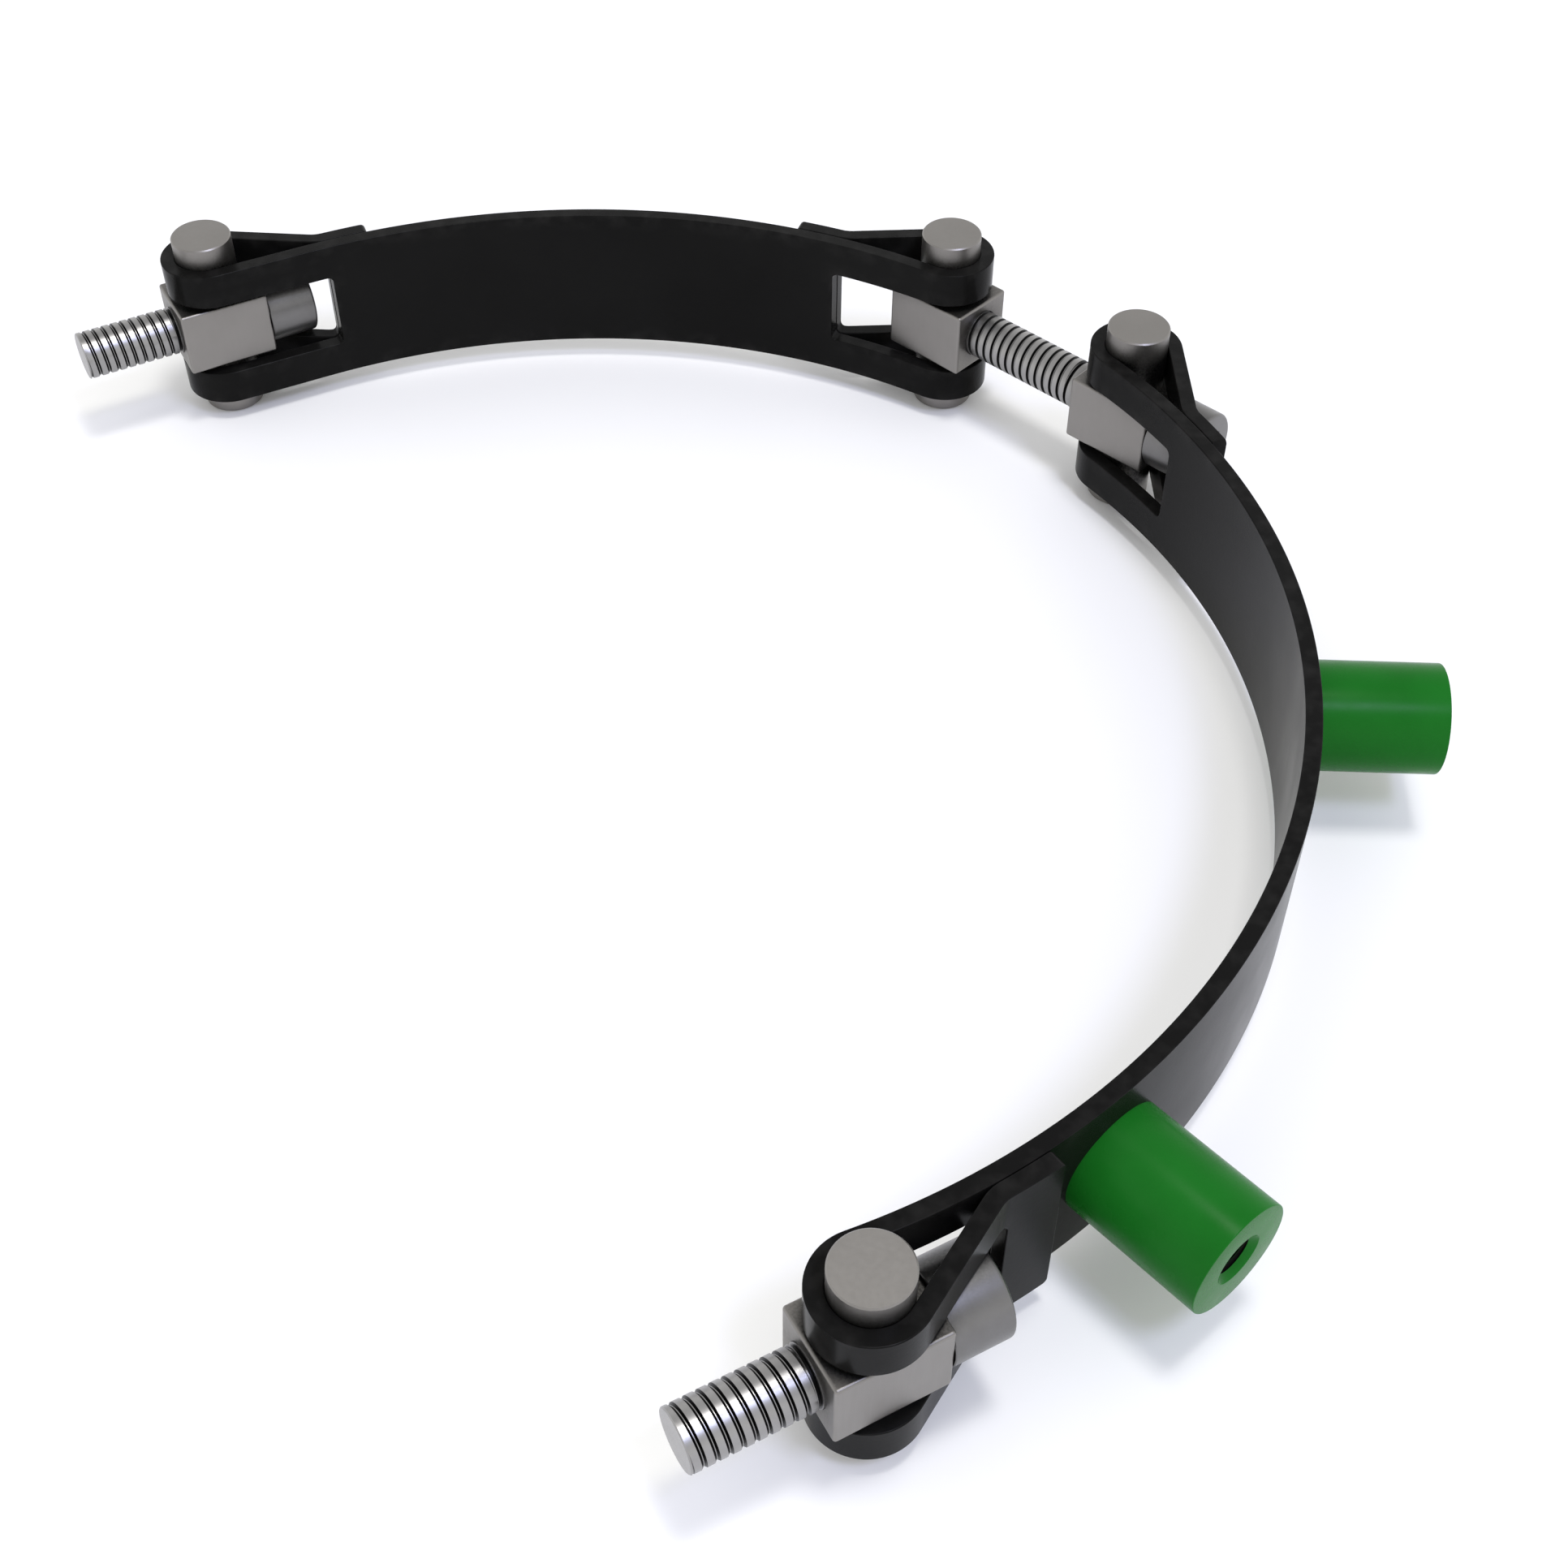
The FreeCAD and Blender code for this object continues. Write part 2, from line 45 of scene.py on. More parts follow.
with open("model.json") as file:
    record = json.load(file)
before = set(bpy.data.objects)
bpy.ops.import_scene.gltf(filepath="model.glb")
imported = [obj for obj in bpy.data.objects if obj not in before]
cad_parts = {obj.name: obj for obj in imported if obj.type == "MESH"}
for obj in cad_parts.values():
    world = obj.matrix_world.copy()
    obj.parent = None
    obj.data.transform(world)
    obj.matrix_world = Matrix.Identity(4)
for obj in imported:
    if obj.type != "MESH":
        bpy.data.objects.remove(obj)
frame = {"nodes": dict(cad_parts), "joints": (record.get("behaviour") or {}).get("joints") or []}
cad_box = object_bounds()
joints = {joint["name"]: joint for joint in frame["joints"]}

MM = 0.001
SHORTEST = 1e-6

# ------------------------------------------------------------ plain geometry


def direction(angle):
    """Unit vector in the XY plane, at an angle in radians from +X."""
    return Vector((math.cos(angle), math.sin(angle), 0.0))


def angle_of(vector):
    return math.atan2(vector.y, vector.x)


def pin_centre(hinge):
    return Vector(joints[hinge]["pos_m"])


def bolt_matrix(turn):
    """The frame of a bolt: origin on its pin's axis, +X towards its tip."""
    joint = joints[turn]
    angle = angle_of(Vector(joint["axis"]))
    return Matrix.Translation(Vector(joint["pos_m"])) @ Matrix.Rotation(angle, 4, "Z")


def make_object(name, vertices, faces, normals=None, attributes=None, sharp_angle=None):
    """A smooth-shaded mesh object, with its own normals or with sharp edges."""
    mesh = bpy.data.meshes.new(name)
    mesh.from_pydata(vertices, [], faces)
    mesh.validate()
    for polygon in mesh.polygons:
        polygon.use_smooth = True
    for key, values in (attributes or {}).items():
        layer = mesh.attributes.new(key, "FLOAT", "POINT")
        layer.data.foreach_set("value", values)
    if normals is not None:
        mesh.normals_split_custom_set_from_vertices(normals)
    if sharp_angle is not None:
        mesh.set_sharp_from_angle(angle=sharp_angle)
    piece = bpy.data.objects.new(name, mesh)
    bpy.context.scene.collection.objects.link(piece)
    return piece


# -------------------------------------------------------------------- straps

INNER_RADIUS = 210 * MM
THICKNESS = 4.75 * MM
WIDTH = 50.8 * MM
OUTER_RADIUS = INNER_RADIUS + THICKNESS
LOOP_RADIUS = 10.05 * MM
TAIL_RADIUS = OUTER_RADIUS + 0.2 * MM
BEND_RADIUS = 8 * MM
KINK_SWEEP = math.radians(9.5)
TAIL_SWEEP = math.radians(14)
TAIL_CORNER = 1.6 * MM
WINDOW_SWEEP = math.radians(9.9)
WINDOW_HEIGHT = 26.8 * MM
WINDOW_CORNER = 2 * MM
STRAP_EDGE = 0.35 * MM
EDGE_STEPS = 4
CORNER_STEPS = 8
LOOP_STEP = 0.9 * MM
MAIN_STEP = 3 * MM
STRAP_ROWS = (-19.4 * MM, -9 * MM, 0.0, 9 * MM, 19.4 * MM)
GRID_GAP = 0.4 * MM
WHOLE_HULL = 0
MERGE_DISTANCE = 1e-9


class Arc:
    """A stretch of a strap's middle line, along a circle."""

    def __init__(self, centre, radius, start, sweep, step):
        self.centre, self.radius, self.start, self.sweep = centre, radius, start, sweep
        self.length = abs(sweep) * radius
        self.step = step

    def at(self, s):
        """Point and outward normal at a distance from the stretch's start."""
        sense = math.copysign(1.0, self.sweep)
        spoke = direction(self.start + sense * s / self.radius)
        return self.centre + spoke * self.radius, spoke * sense


class Line:
    """A straight stretch of a strap's middle line."""

    def __init__(self, start, end, step):
        self.start, self.along = start, (end - start).normalized()
        self.length = (end - start).length
        self.step = step

    def at(self, s):
        normal = Vector((self.along.y, -self.along.x, 0.0))
        return self.start + self.along * s, normal


def strap_end(hinge, side, turn_angle=None):
    """The stretches of one strap end, from its tail's tip to its circle.

    side is +1 where the strap runs from the pin towards larger angles. Returns
    the stretches, the angle at which the circle starts, and the distances of
    the window's two ends from the tail's tip.
    """
    half = THICKNESS / 2
    pin = pin_centre(hinge)
    pin_angle = angle_of(pin)
    turn_angle = pin_angle if turn_angle is None else turn_angle
    loop_outer = LOOP_RADIUS + THICKNESS
    tail_outer = TAIL_RADIUS + THICKNESS
    # The arm's outer face is the tangent from the kink's place on the tail to
    # the loop. The kink itself is a fillet that touches both that face and the
    # tail's outer face.
    reach = direction(pin_angle + side * KINK_SWEEP) * tail_outer - pin
    normal_angle = angle_of(reach) - side * math.acos(loop_outer / reach.length)
    normal = direction(normal_angle)
    height = normal.dot(pin) + loop_outer + BEND_RADIUS
    slide = math.sqrt((tail_outer + BEND_RADIUS) ** 2 - height**2)
    bend = normal * height + direction(normal_angle - side * math.pi / 2) * slide
    tail_middle = TAIL_RADIUS + half
    bend_middle = BEND_RADIUS + half
    loop_middle = LOOP_RADIUS + half
    bend_angle = angle_of(bend)
    tail_tip = pin_angle + side * TAIL_SWEEP
    tail = Arc(Vector(), tail_middle, tail_tip, bend_angle - tail_tip, MAIN_STEP)
    lean = math.remainder(normal_angle - bend_angle, 2 * math.pi)
    kink = Arc(bend, bend_middle, bend_angle + math.pi, lean, LOOP_STEP)
    arm_start = bend - normal * bend_middle
    arm_end = pin + normal * loop_middle
    arm = Line(arm_start, arm_end, MAIN_STEP)
    wrap = math.pi + side * math.remainder(normal_angle - turn_angle, 2 * math.pi)
    loop = Arc(pin, loop_middle, normal_angle, -side * wrap, LOOP_STEP)
    stretches = [tail, kink, arm, loop]
    run = pin.dot(direction(turn_angle - side * math.pi / 2))
    loop_end = pin - direction(turn_angle) * loop_middle
    if run > SHORTEST:
        straight_end = loop_end - direction(turn_angle - side * math.pi / 2) * run
        stretches.append(Line(loop_end, straight_end, MAIN_STEP))
    window_start = (TAIL_SWEEP - WINDOW_SWEEP) * tail_middle
    before_circle = sum(stretch.length for stretch in stretches)
    to_window = side * (pin_angle + side * WINDOW_SWEEP - turn_angle)
    window_end = before_circle + to_window * (INNER_RADIUS + half)
    return stretches, turn_angle, window_start, window_end


def backwards(stretches):
    """The same stretches, walked from the circle to the tail's tip."""
    turned = []
    for stretch in reversed(stretches):
        if isinstance(stretch, Arc):
            end, back = stretch.start + stretch.sweep, -stretch.sweep
            turned.append(Arc(stretch.centre, stretch.radius, end, back, stretch.step))
        else:
            end = stretch.start + stretch.along * stretch.length
            turned.append(Line(end, stretch.start, stretch.step))
    return turned


def rounded_box(low, high, half_height, corner, grow, stations):
    """A rounded rectangle's outline in the strap's flat pattern, grown or
    shrunk about its own corner centres, with each point's outward normal."""
    radius = corner + grow
    top = half_height - corner
    points = []

    def add_corner(s, z, start):
        for step in range(CORNER_STEPS + 1):
            angle = start + math.pi / 2 * step / CORNER_STEPS
            out = (math.cos(angle), math.sin(angle))
            points.append(((s + radius * out[0], z + radius * out[1]), out))

    first, last = low + corner + SHORTEST, high - corner - SHORTEST
    middle = [s for s in stations if first < s < last]
    rows = [z for z in STRAP_ROWS if abs(z) < top - SHORTEST]
    add_corner(high - corner, -top, -math.pi / 2)
    points += [((high - corner + radius, z), (1.0, 0.0)) for z in rows]
    add_corner(high - corner, top, 0.0)
    points += [((s, top + radius), (0.0, 1.0)) for s in reversed(middle)]
    add_corner(low + corner, top, math.pi / 2)
    points += [((low + corner - radius, z), (-1.0, 0.0)) for z in reversed(rows)]
    add_corner(low + corner, -top, math.pi)
    points += [((s, -top - radius), (0.0, -1.0)) for s in middle]
    return points


def in_rounded_box(s, z, low, high, half_height, corner):
    """Whether a flat-pattern point lies inside a rounded rectangle."""
    over_s = max(low + corner - s, s - (high - corner), 0.0)
    over_z = max(abs(z) - (half_height - corner), 0.0)
    return over_s**2 + over_z**2 < corner**2


def build_strap(name, low, high):
    """A strap: its flat blank with two windows, bent along its middle line.

    Every edge of the blank is rounded over, and the surface normals are the
    bent blank's own, so the faces stay flat up to their rounded edges.
    """
    low_stretches, low_turn, low_window, low_window_end = low
    high_stretches, high_turn, high_window, high_window_end = high
    half = THICKNESS / 2
    circle = Arc(Vector(), INNER_RADIUS + half, low_turn, high_turn - low_turn, MAIN_STEP)
    path = low_stretches + [circle] + backwards(high_stretches)
    total = sum(stretch.length for stretch in path)

    def at(s):
        for stretch in path:
            if s <= stretch.length or stretch is path[-1]:
                return stretch.at(s)
            s -= stretch.length

    stations = []
    start = 0.0
    for stretch in path:
        steps = max(1, math.ceil(stretch.length / stretch.step))
        stations += [start + stretch.length * step / steps for step in range(steps)]
        start += stretch.length
    windows = [(low_window, low_window_end), (total - high_window_end, total - high_window)]
    blank = (0.0, total, WIDTH / 2, TAIL_CORNER)
    holes = [(first, last, WINDOW_HEIGHT / 2, WINDOW_CORNER) for first, last in windows]

    vertices, normals, faces, wear = [], [], [], []

    def add(s, z, t, out, lift):
        """One vertex: t is its height over the middle line, and its normal
        leans from the outline's own direction to the strap's face by lift."""
        point, normal = at(s)
        along = Vector((-normal.y, normal.x, 0.0))
        vertices.append(point + normal * t + Vector((0.0, 0.0, z)))
        flat = along * out[0] + Vector((0.0, 0.0, out[1]))
        normals.append((flat * math.cos(lift) + normal * math.sin(lift)).normalized())
        return len(vertices) - 1

    rims = {1: [], -1: []}
    for box, sign in [(blank, 1)] + [(hole, -1) for hole in holes]:
        rings = {1: [], -1: []}
        for step in range(EDGE_STEPS + 1):
            lift = math.pi / 2 * step / EDGE_STEPS
            inset = STRAP_EDGE * (1 - math.cos(lift))
            height = half - STRAP_EDGE + STRAP_EDGE * math.sin(lift)
            outline = rounded_box(*box, -sign * inset, stations)
            for face_side in (1, -1):
                ring = []
                for (s, z), out in outline:
                    out = (out[0] * sign, out[1] * sign)
                    ring.append(add(s, z, face_side * height, out, face_side * lift))
                    wear.append(1.0)
                rings[face_side].append(ring)
        for face_side in (1, -1):
            rims[face_side].append((rings[face_side][-1], [point for point, out in outline]))
        stack = rings[-1][::-1] + rings[1]
        for below, above in zip(stack, stack[1:]):
            count = len(below)
            for i in range(count):
                j = (i + 1) % count
                quad = (below[i], below[j], above[j], above[i])
                faces.append(quad if sign > 0 else quad[::-1])

    margin = STRAP_EDGE + GRID_GAP
    face = (margin, total - margin, WIDTH / 2 - margin, TAIL_CORNER)
    inner = []
    for s in stations:
        for z in STRAP_ROWS:
            inside = in_rounded_box(s, z, *face)
            clear = not any(
                in_rounded_box(s, z, first - margin, last + margin, height + margin, corner)
                for first, last, height, corner in holes
            )
            if inside and clear:
                inner.append((s, z))
    flat = []
    edges = []
    outlines = []
    for ring, points in rims[1]:
        first = len(flat)
        flat += points
        edges += [(first + i, first + (i + 1) % len(points)) for i in range(len(points))]
        outlines.append(range(first, len(flat)))
    flat += inner
    blank_points = [Vector(point) for point in flat]
    filled = delaunay_2d_cdt(blank_points, edges, [], WHOLE_HULL, MERGE_DISTANCE, True)
    triangles, sources = filled[2], filled[3]
    for face_side in (1, -1):
        known = [index for ring, points in rims[face_side] for index in ring]
        for s, z in inner:
            known.append(add(s, z, face_side * half, (0.0, 0.0), face_side * math.pi / 2))
            wear.append(0.0)
        for triangle in triangles:
            places = [sources[i][0] for i in triangle]
            if any(all(place in window for place in places) for window in outlines[1:]):
                continue
            corners = tuple(known[place] for place in places)
            faces.append(corners if face_side > 0 else corners[::-1])
    return make_object(name, vertices, faces, normals, {"wear": wear})


# --------------------------------------------------------- bolts and bosses

AROUND = 72
WELD_GRID = 1e7  # places in a metre; vertices at one place are one vertex
THREAD_FADE = 0.35 * MM
SHARP_ANGLE = math.radians(32)
RIM_STEPS = 5


def weld(vertices, faces, values):
    """Joins vertices that share a place, and drops the faces that collapse."""
    places, kept, kept_values, renamed = {}, [], [], []
    for vertex, value in zip(vertices, values):
        key = tuple(round(number * WELD_GRID) for number in vertex)
        if key not in places:
            places[key] = len(kept)
            kept.append(vertex)
            kept_values.append(value)
        renamed.append(places[key])
    kept_faces = []
    for face in faces:
        corners = []
        for index in face:
            if renamed[index] not in corners:
                corners.append(renamed[index])
        if len(corners) > 2:
            kept_faces.append(corners)
    return kept, kept_faces, kept_values


class Turned:
    """A piece turned round the X axis. Each vertex also holds a shade, from 0
    where nothing is darkened to 1 in its deepest hollows, which its material darkens as painted
    shade."""

    def __init__(self):
        self.vertices, self.faces, self.shades = [], [], []

    def column(self, i, x, radius, shade):
        """Adds a vertex at one of the AROUND angles."""
        angle = 2 * math.pi * i / AROUND
        r = radius(angle) if callable(radius) else radius
        place = x(angle) if callable(x) else x
        self.vertices.append((place, r * math.cos(angle), r * math.sin(angle)))
        self.shades.append(shade)

    def profile(self, rows):
        """Turns a line of (x, radius, shade) rows; x and radius may be numbers
        or functions of the angle. The outside is on the line's left."""
        first = len(self.vertices)
        for x, radius, shade in rows:
            for i in range(AROUND):
                self.column(i, x, radius, shade)
        for row in range(len(rows) - 1):
            for i in range(AROUND):
                a = first + row * AROUND + i
                b = first + row * AROUND + (i + 1) % AROUND
                self.faces.append((a, b, b + AROUND, a + AROUND))

    def thread(self, start, end, pitch, profile, radius, inside=False):
        """Cuts a right-hand thread from start to end along X.

        profile lists (share of the pitch, depth, shade) for one turn, and
        radius gives the radius at a depth. The groove fades at both ends.
        """
        steps = len(profile)
        turns = math.ceil((end - start) / pitch) + 1
        first = len(self.vertices)
        count = (turns + 2) * steps
        for row in range(count):
            turn, step = divmod(row - steps, steps)
            share, depth, shade = profile[step]
            for i in range(AROUND):
                x = start + (turn + share + i / AROUND) * pitch
                x = min(max(x, start), end)
                fade = min(1.0, (x - start) / THREAD_FADE, (end - x) / THREAD_FADE)
                self.column(i, x, radius(depth * fade), shade * fade)
        for row in range(count - 1):
            for i in range(AROUND):
                # One full turn further round, the helix is one pitch ahead.
                lead = steps if i == AROUND - 1 else 0
                if row + 1 + lead >= count:
                    continue
                a = first + row * AROUND + i
                b = first + (row + lead) * AROUND + (i + 1) % AROUND
                face = (a, b, b + AROUND, a + AROUND)
                self.faces.append(face[::-1] if inside else face)

    def finish(self, name, placement):
        """Welds the mesh and puts it in its place in the frame."""
        vertices, faces, shades = weld(self.vertices, self.faces, self.shades)
        placed = [placement @ Vector(vertex) for vertex in vertices]
        return make_object(name, placed, faces, None, {"shade": shades}, SHARP_ANGLE)


def rounded_rim(x, radius, edge, along, across, shade=0.0):
    """Rows that round a turned piece's rim at (x, radius), from its end face
    to its side where across is 1, and back to its end face where it is -1."""
    rows = []
    for step in range(RIM_STEPS + 1):
        lean = math.pi / 2 * step / RIM_STEPS
        if across < 0:
            lean = math.pi / 2 - lean
        rows.append((
            x + along * edge * (1 - math.cos(lean)),
            radius - edge * (1 - math.sin(lean)),
            shade,
        ))
    return rows


SHANK_RADIUS = 8.0 * MM
THREAD_RADIUS = 7.9 * MM
NECK_RADIUS = 7.25 * MM
NECK_WIDTH = 1.0 * MM
NECK_LEAN = 0.15 * MM
THREAD_PITCH = 3.175 * MM
GROOVE_DEPTH = 0.6 * MM
TIP_CHAMFER = 0.3 * MM
HEAD_RADIUS = 12.6 * MM
HEAD_HEIGHT = 16.2 * MM
HEAD_EDGE = 1.0 * MM
HEAD_FOOT = 0.25 * MM
# Shade values for the turned pieces, painted as shade: darkest in the socket, neck and hollows,
# less under the head, and a little over the whole head.
NO_SHADE, DEEP_SHADE = 0.0, 1.0
HEAD_SHADE = 0.45
FOOT_SHADE = 0.5
SEAT_SHADE = 0.8
HEAD_SEAT = -15.35 * MM
SOCKET_HALF = 6.35 * MM
SOCKET_DEPTH = 8.0 * MM
SOCKET_POINT = 2.0 * MM
SOCKET_CHAMFER = 0.4 * MM
SOCKET_MOUTH = 1.2 * MM
SOCKET_FLOOR_RADIUS = 0.97 * SOCKET_HALF

# One turn of the bolts' thread: (share of the pitch, depth, shade). A wide
# bright crest, and a groove with two flanks in painted shade and a narrow bright root.
BOLT_THREAD = (
    (0.000, 0.00, 0.0), (0.570, 0.00, 0.0), (0.582, 0.12, 1.0), (0.725, 0.92, 1.0),
    (0.737, 1.00, 0.0), (0.803, 1.00, 0.0), (0.815, 0.92, 1.0), (0.988, 0.12, 1.0),
)


def hexagon(half_flat):
    """A hexagon's radius as a function of the angle."""
    def radius(angle):
        return half_flat / math.cos((angle + math.pi / 6) % (math.pi / 3) - math.pi / 6)
    return radius


def build_bolt(name, turn, length, plain):
    """A round-headed bolt with a hexagon socket and a helical thread."""
    back = HEAD_SEAT - HEAD_HEIGHT
    tip = HEAD_SEAT + length
    floor = back + SOCKET_DEPTH
    start = plain + NECK_WIDTH
    thread_end = tip - TIP_CHAMFER
    bolt = Turned()
    bolt.profile([
        (floor + SOCKET_POINT, 0.0, DEEP_SHADE),
        (floor, SOCKET_FLOOR_RADIUS, DEEP_SHADE),
        (floor, hexagon(SOCKET_HALF), DEEP_SHADE),
        (back + SOCKET_MOUTH, hexagon(SOCKET_HALF), HEAD_SHADE),
        (back + SOCKET_CHAMFER, hexagon(SOCKET_HALF), HEAD_SHADE),
        (back, hexagon(SOCKET_HALF + SOCKET_CHAMFER), HEAD_SHADE),
        *rounded_rim(back, HEAD_RADIUS, HEAD_EDGE, 1, 1, HEAD_SHADE),
        (HEAD_SEAT - HEAD_FOOT, HEAD_RADIUS, HEAD_SHADE),
        (HEAD_SEAT, HEAD_RADIUS - HEAD_FOOT, FOOT_SHADE),
        (HEAD_SEAT, SHANK_RADIUS, SEAT_SHADE),
        (plain - NECK_LEAN, SHANK_RADIUS, NO_SHADE),
        (plain + NECK_LEAN, NECK_RADIUS, DEEP_SHADE),
        (start - NECK_LEAN, NECK_RADIUS, DEEP_SHADE),
        (start, THREAD_RADIUS, NO_SHADE),
    ])
    bolt.thread(
        start, thread_end, THREAD_PITCH, BOLT_THREAD,
        lambda depth: THREAD_RADIUS - GROOVE_DEPTH * depth,
    )
    bolt.profile([
        (thread_end, THREAD_RADIUS, NO_SHADE),
        (tip, THREAD_RADIUS - TIP_CHAMFER, NO_SHADE),
        (tip, THREAD_RADIUS / 2, NO_SHADE),
        (tip, 0.0, NO_SHADE),
    ])
    return bolt.finish(name, bolt_matrix(turn))


BOSS_RADIUS = 15.9 * MM
BOSS_REACH = 253.0 * MM
BOSS_EDGE = 0.3 * MM
SADDLE_RINGS = 6
DRILL_POINT = math.radians(31)
TAP_RADIUS = 5.55 * MM
TAP_PITCH = 1.411 * MM
TAP_GROOVE = 0.8 * MM
TAP_DEPTH = 28.0 * MM
MOUTH_RADIUS = 7.25 * MM

# The same for the bosses' thread, whose grooves go outwards from the hole.
BOSS_THREAD = ((0.0, 0.0, 0.25), (0.12, 0.0, 0.25), (0.5, 1.0, 1.0), (0.62, 1.0, 1.0))


def build_boss(name, angle):
    """A round boss saddled on the strap, with a countersunk tapped hole."""
    def saddle(radius):
        return lambda turn: math.sqrt(OUTER_RADIUS**2 - (radius * math.cos(turn)) ** 2)

    floor = BOSS_REACH - TAP_DEPTH
    lip = BOSS_REACH - (MOUTH_RADIUS - TAP_RADIUS)
    boss = Turned()
    rings = [BOSS_RADIUS * step / SADDLE_RINGS for step in range(SADDLE_RINGS + 1)]
    boss.profile([(saddle(radius), radius, NO_SHADE) for radius in rings])
    boss.profile([
        (saddle(BOSS_RADIUS), BOSS_RADIUS, NO_SHADE),
        *rounded_rim(BOSS_REACH, BOSS_RADIUS, BOSS_EDGE, -1, -1),
        (BOSS_REACH, MOUTH_RADIUS, NO_SHADE),
        (lip, TAP_RADIUS, NO_SHADE),
    ])
    boss.thread(
        floor, lip, TAP_PITCH, BOSS_THREAD,
        lambda depth: TAP_RADIUS + TAP_GROOVE * depth, True,
    )
    boss.profile([
        (floor, TAP_RADIUS, DEEP_SHADE),
        (floor - TAP_RADIUS * math.tan(DRILL_POINT), 0.0, DEEP_SHADE),
    ])
    return boss.finish(name, Matrix.Rotation(angle, 4, "Z"))


# ----------------------------------------------------------------- materials


# Painted shade near other parts: its reach, the heights below which it stops, the occlusion at
# which it is full and none, its samples and its near black colour.
SHADE_REACH = 15 * MM
UNSHADED_BELOW = (-27 * MM, -24 * MM)
SHADE_FULL_AT, SHADE_NONE_AT = 0.45, 0.96
SHADE_SAMPLES = 16
CONTACT_SHADE_COLOUR = (0.008, 0.008, 0.0075, 1.0)
# Near black, for the bolts' painted shade.
BOLT_SHADE_COLOUR = (0.006, 0.006, 0.006, 1.0)
RUBBED_PAINT = (0.014, 0.0136, 0.0130, 1.0)
# Bare thread, near black as painted shade inside the hole.
BARE_SHADED_THREAD = (0.012, 0.012, 0.010, 1.0)


class Look:
    """A Principled material with procedural colour, roughness and bump."""

    def __init__(self, name, metallic, specular):
        self.material = bpy.data.materials.new(name)
        self.material.use_nodes = True
        self.tree = self.material.node_tree
        self.shader = self.tree.nodes["Principled BSDF"]
        self.shader.inputs["Metallic"].default_value = metallic
        self.shader.inputs["Specular IOR Level"].default_value = specular
        self.place = self.node("ShaderNodeTexCoord").outputs["Object"]

    def node(self, kind, **inputs):
        """A new node, with its inputs set to numbers or linked to outputs."""
        made = self.tree.nodes.new(kind)
        for key, value in inputs.items():
            self.feed(made.inputs[key], value)
        return made

    def feed(self, socket, value):
        if isinstance(value, bpy.types.NodeSocket):
            self.tree.links.new(value, socket)
        else:
            socket.default_value = value

    def noise(self, scale, detail=3.0, stretch=(1.0, 1.0, 1.0)):
        """Noise with this many features in a metre, squeezed along each axis."""
        place = self.node("ShaderNodeMapping", Vector=self.place, Scale=stretch)
        noise = self.node(
            "ShaderNodeTexNoise", Vector=place.outputs["Vector"], Scale=scale, Detail=detail
        )
        return noise.outputs["Fac"]

    def grade(self, source, stops):
        """A colour ramp over a number; stops are (place, colour) pairs."""
        ramp = self.node("ShaderNodeValToRGB", Fac=source)
        elements = ramp.color_ramp.elements
        while len(elements) < len(stops):
            elements.new(1.0)
        for element, (place, colour) in zip(elements, stops):
            element.position = place
            element.color = (*colour, 1.0)
        return ramp.outputs["Color"]

    def mix(self, share, first, second):
        """The first colour, turned into the second by a share from 0 to 1."""
        made = self.node("ShaderNodeMix")
        made.data_type = "RGBA"
        self.feed(made.inputs["Factor"], share)
        self.feed(made.inputs["A"], first)
        self.feed(made.inputs["B"], second)
        return made.outputs["Result"]

    def span(self, source, low, high, start=0.3, end=0.7):
        """A number carried from the range start to end into low to high."""
        made = self.node("ShaderNodeMapRange", Value=source)
        limits = {"From Min": start, "From Max": end, "To Min": low, "To Max": high}
        for key, value in limits.items():
            made.inputs[key].default_value = value
        return made.outputs["Result"]

    def times(self, first, second):
        made = self.node("ShaderNodeMath")
        made.operation = "MULTIPLY"
        self.feed(made.inputs[0], first)
        self.feed(made.inputs[1], second)
        return made.outputs[0]

    def painted_shade(self, colour, share):
        """Darkens a colour as painted shade where other surfaces stand close by,
        but not at the pins' lower ends, which only the floor is near."""
        corner = self.node("ShaderNodeAmbientOcclusion", Distance=SHADE_REACH)
        corner.samples = SHADE_SAMPLES
        shade_share = self.span(corner.outputs["AO"], share, 0.0, SHADE_FULL_AT, SHADE_NONE_AT)
        height = self.node("ShaderNodeSeparateXYZ", Vector=self.place).outputs["Z"]
        shade_share = self.times(shade_share, self.span(height, 0.0, 1.0, *UNSHADED_BELOW))
        patchy_shade = self.times(shade_share, self.span(self.noise(1500, 3), 0.65, 1.0))
        return self.mix(patchy_shade, colour, CONTACT_SHADE_COLOUR)

    def attribute(self, name):
        """A number stored in the mesh, such as its wear or shade."""
        made = self.tree.nodes.new("ShaderNodeAttribute")
        made.attribute_name = name
        return made.outputs["Fac"]

    def bump(self, height, distance, strength, under=None):
        """A normal bumped by a height, on top of another bump where given."""
        made = self.node("ShaderNodeBump", Height=height, Distance=distance, Strength=strength)
        if under is not None:
            self.feed(made.inputs["Normal"], under)
        return made.outputs["Normal"]

    def finish(self, colour, roughness, normal):
        self.feed(self.shader.inputs["Base Color"], colour)
        self.feed(self.shader.inputs["Roughness"], roughness)
        self.feed(self.shader.inputs["Normal"], normal)
        return self.material


def strap_paint():
    """Satin black paint over rolled bar, rubbed thin on its edges."""
    look = Look("strap_black_paint", 0.0, 0.05)
    patches = look.noise(18, 4)
    colour = look.grade(
        patches, [(0.3, (0.0046, 0.0045, 0.0043)), (0.7, (0.0072, 0.0071, 0.0068))]
    )
    rub = look.times(look.attribute("wear"), look.span(look.noise(160, 5), 0.0, 0.8, 0.45, 0.7))
    colour = look.mix(rub, colour, RUBBED_PAINT)
    roughness = look.span(look.noise(45, 3), 0.20, 0.26)
    peel = look.bump(look.noise(900, 2), 0.00004, 0.35)
    return look.finish(colour, roughness, look.bump(patches, 0.0004, 0.2, peel))


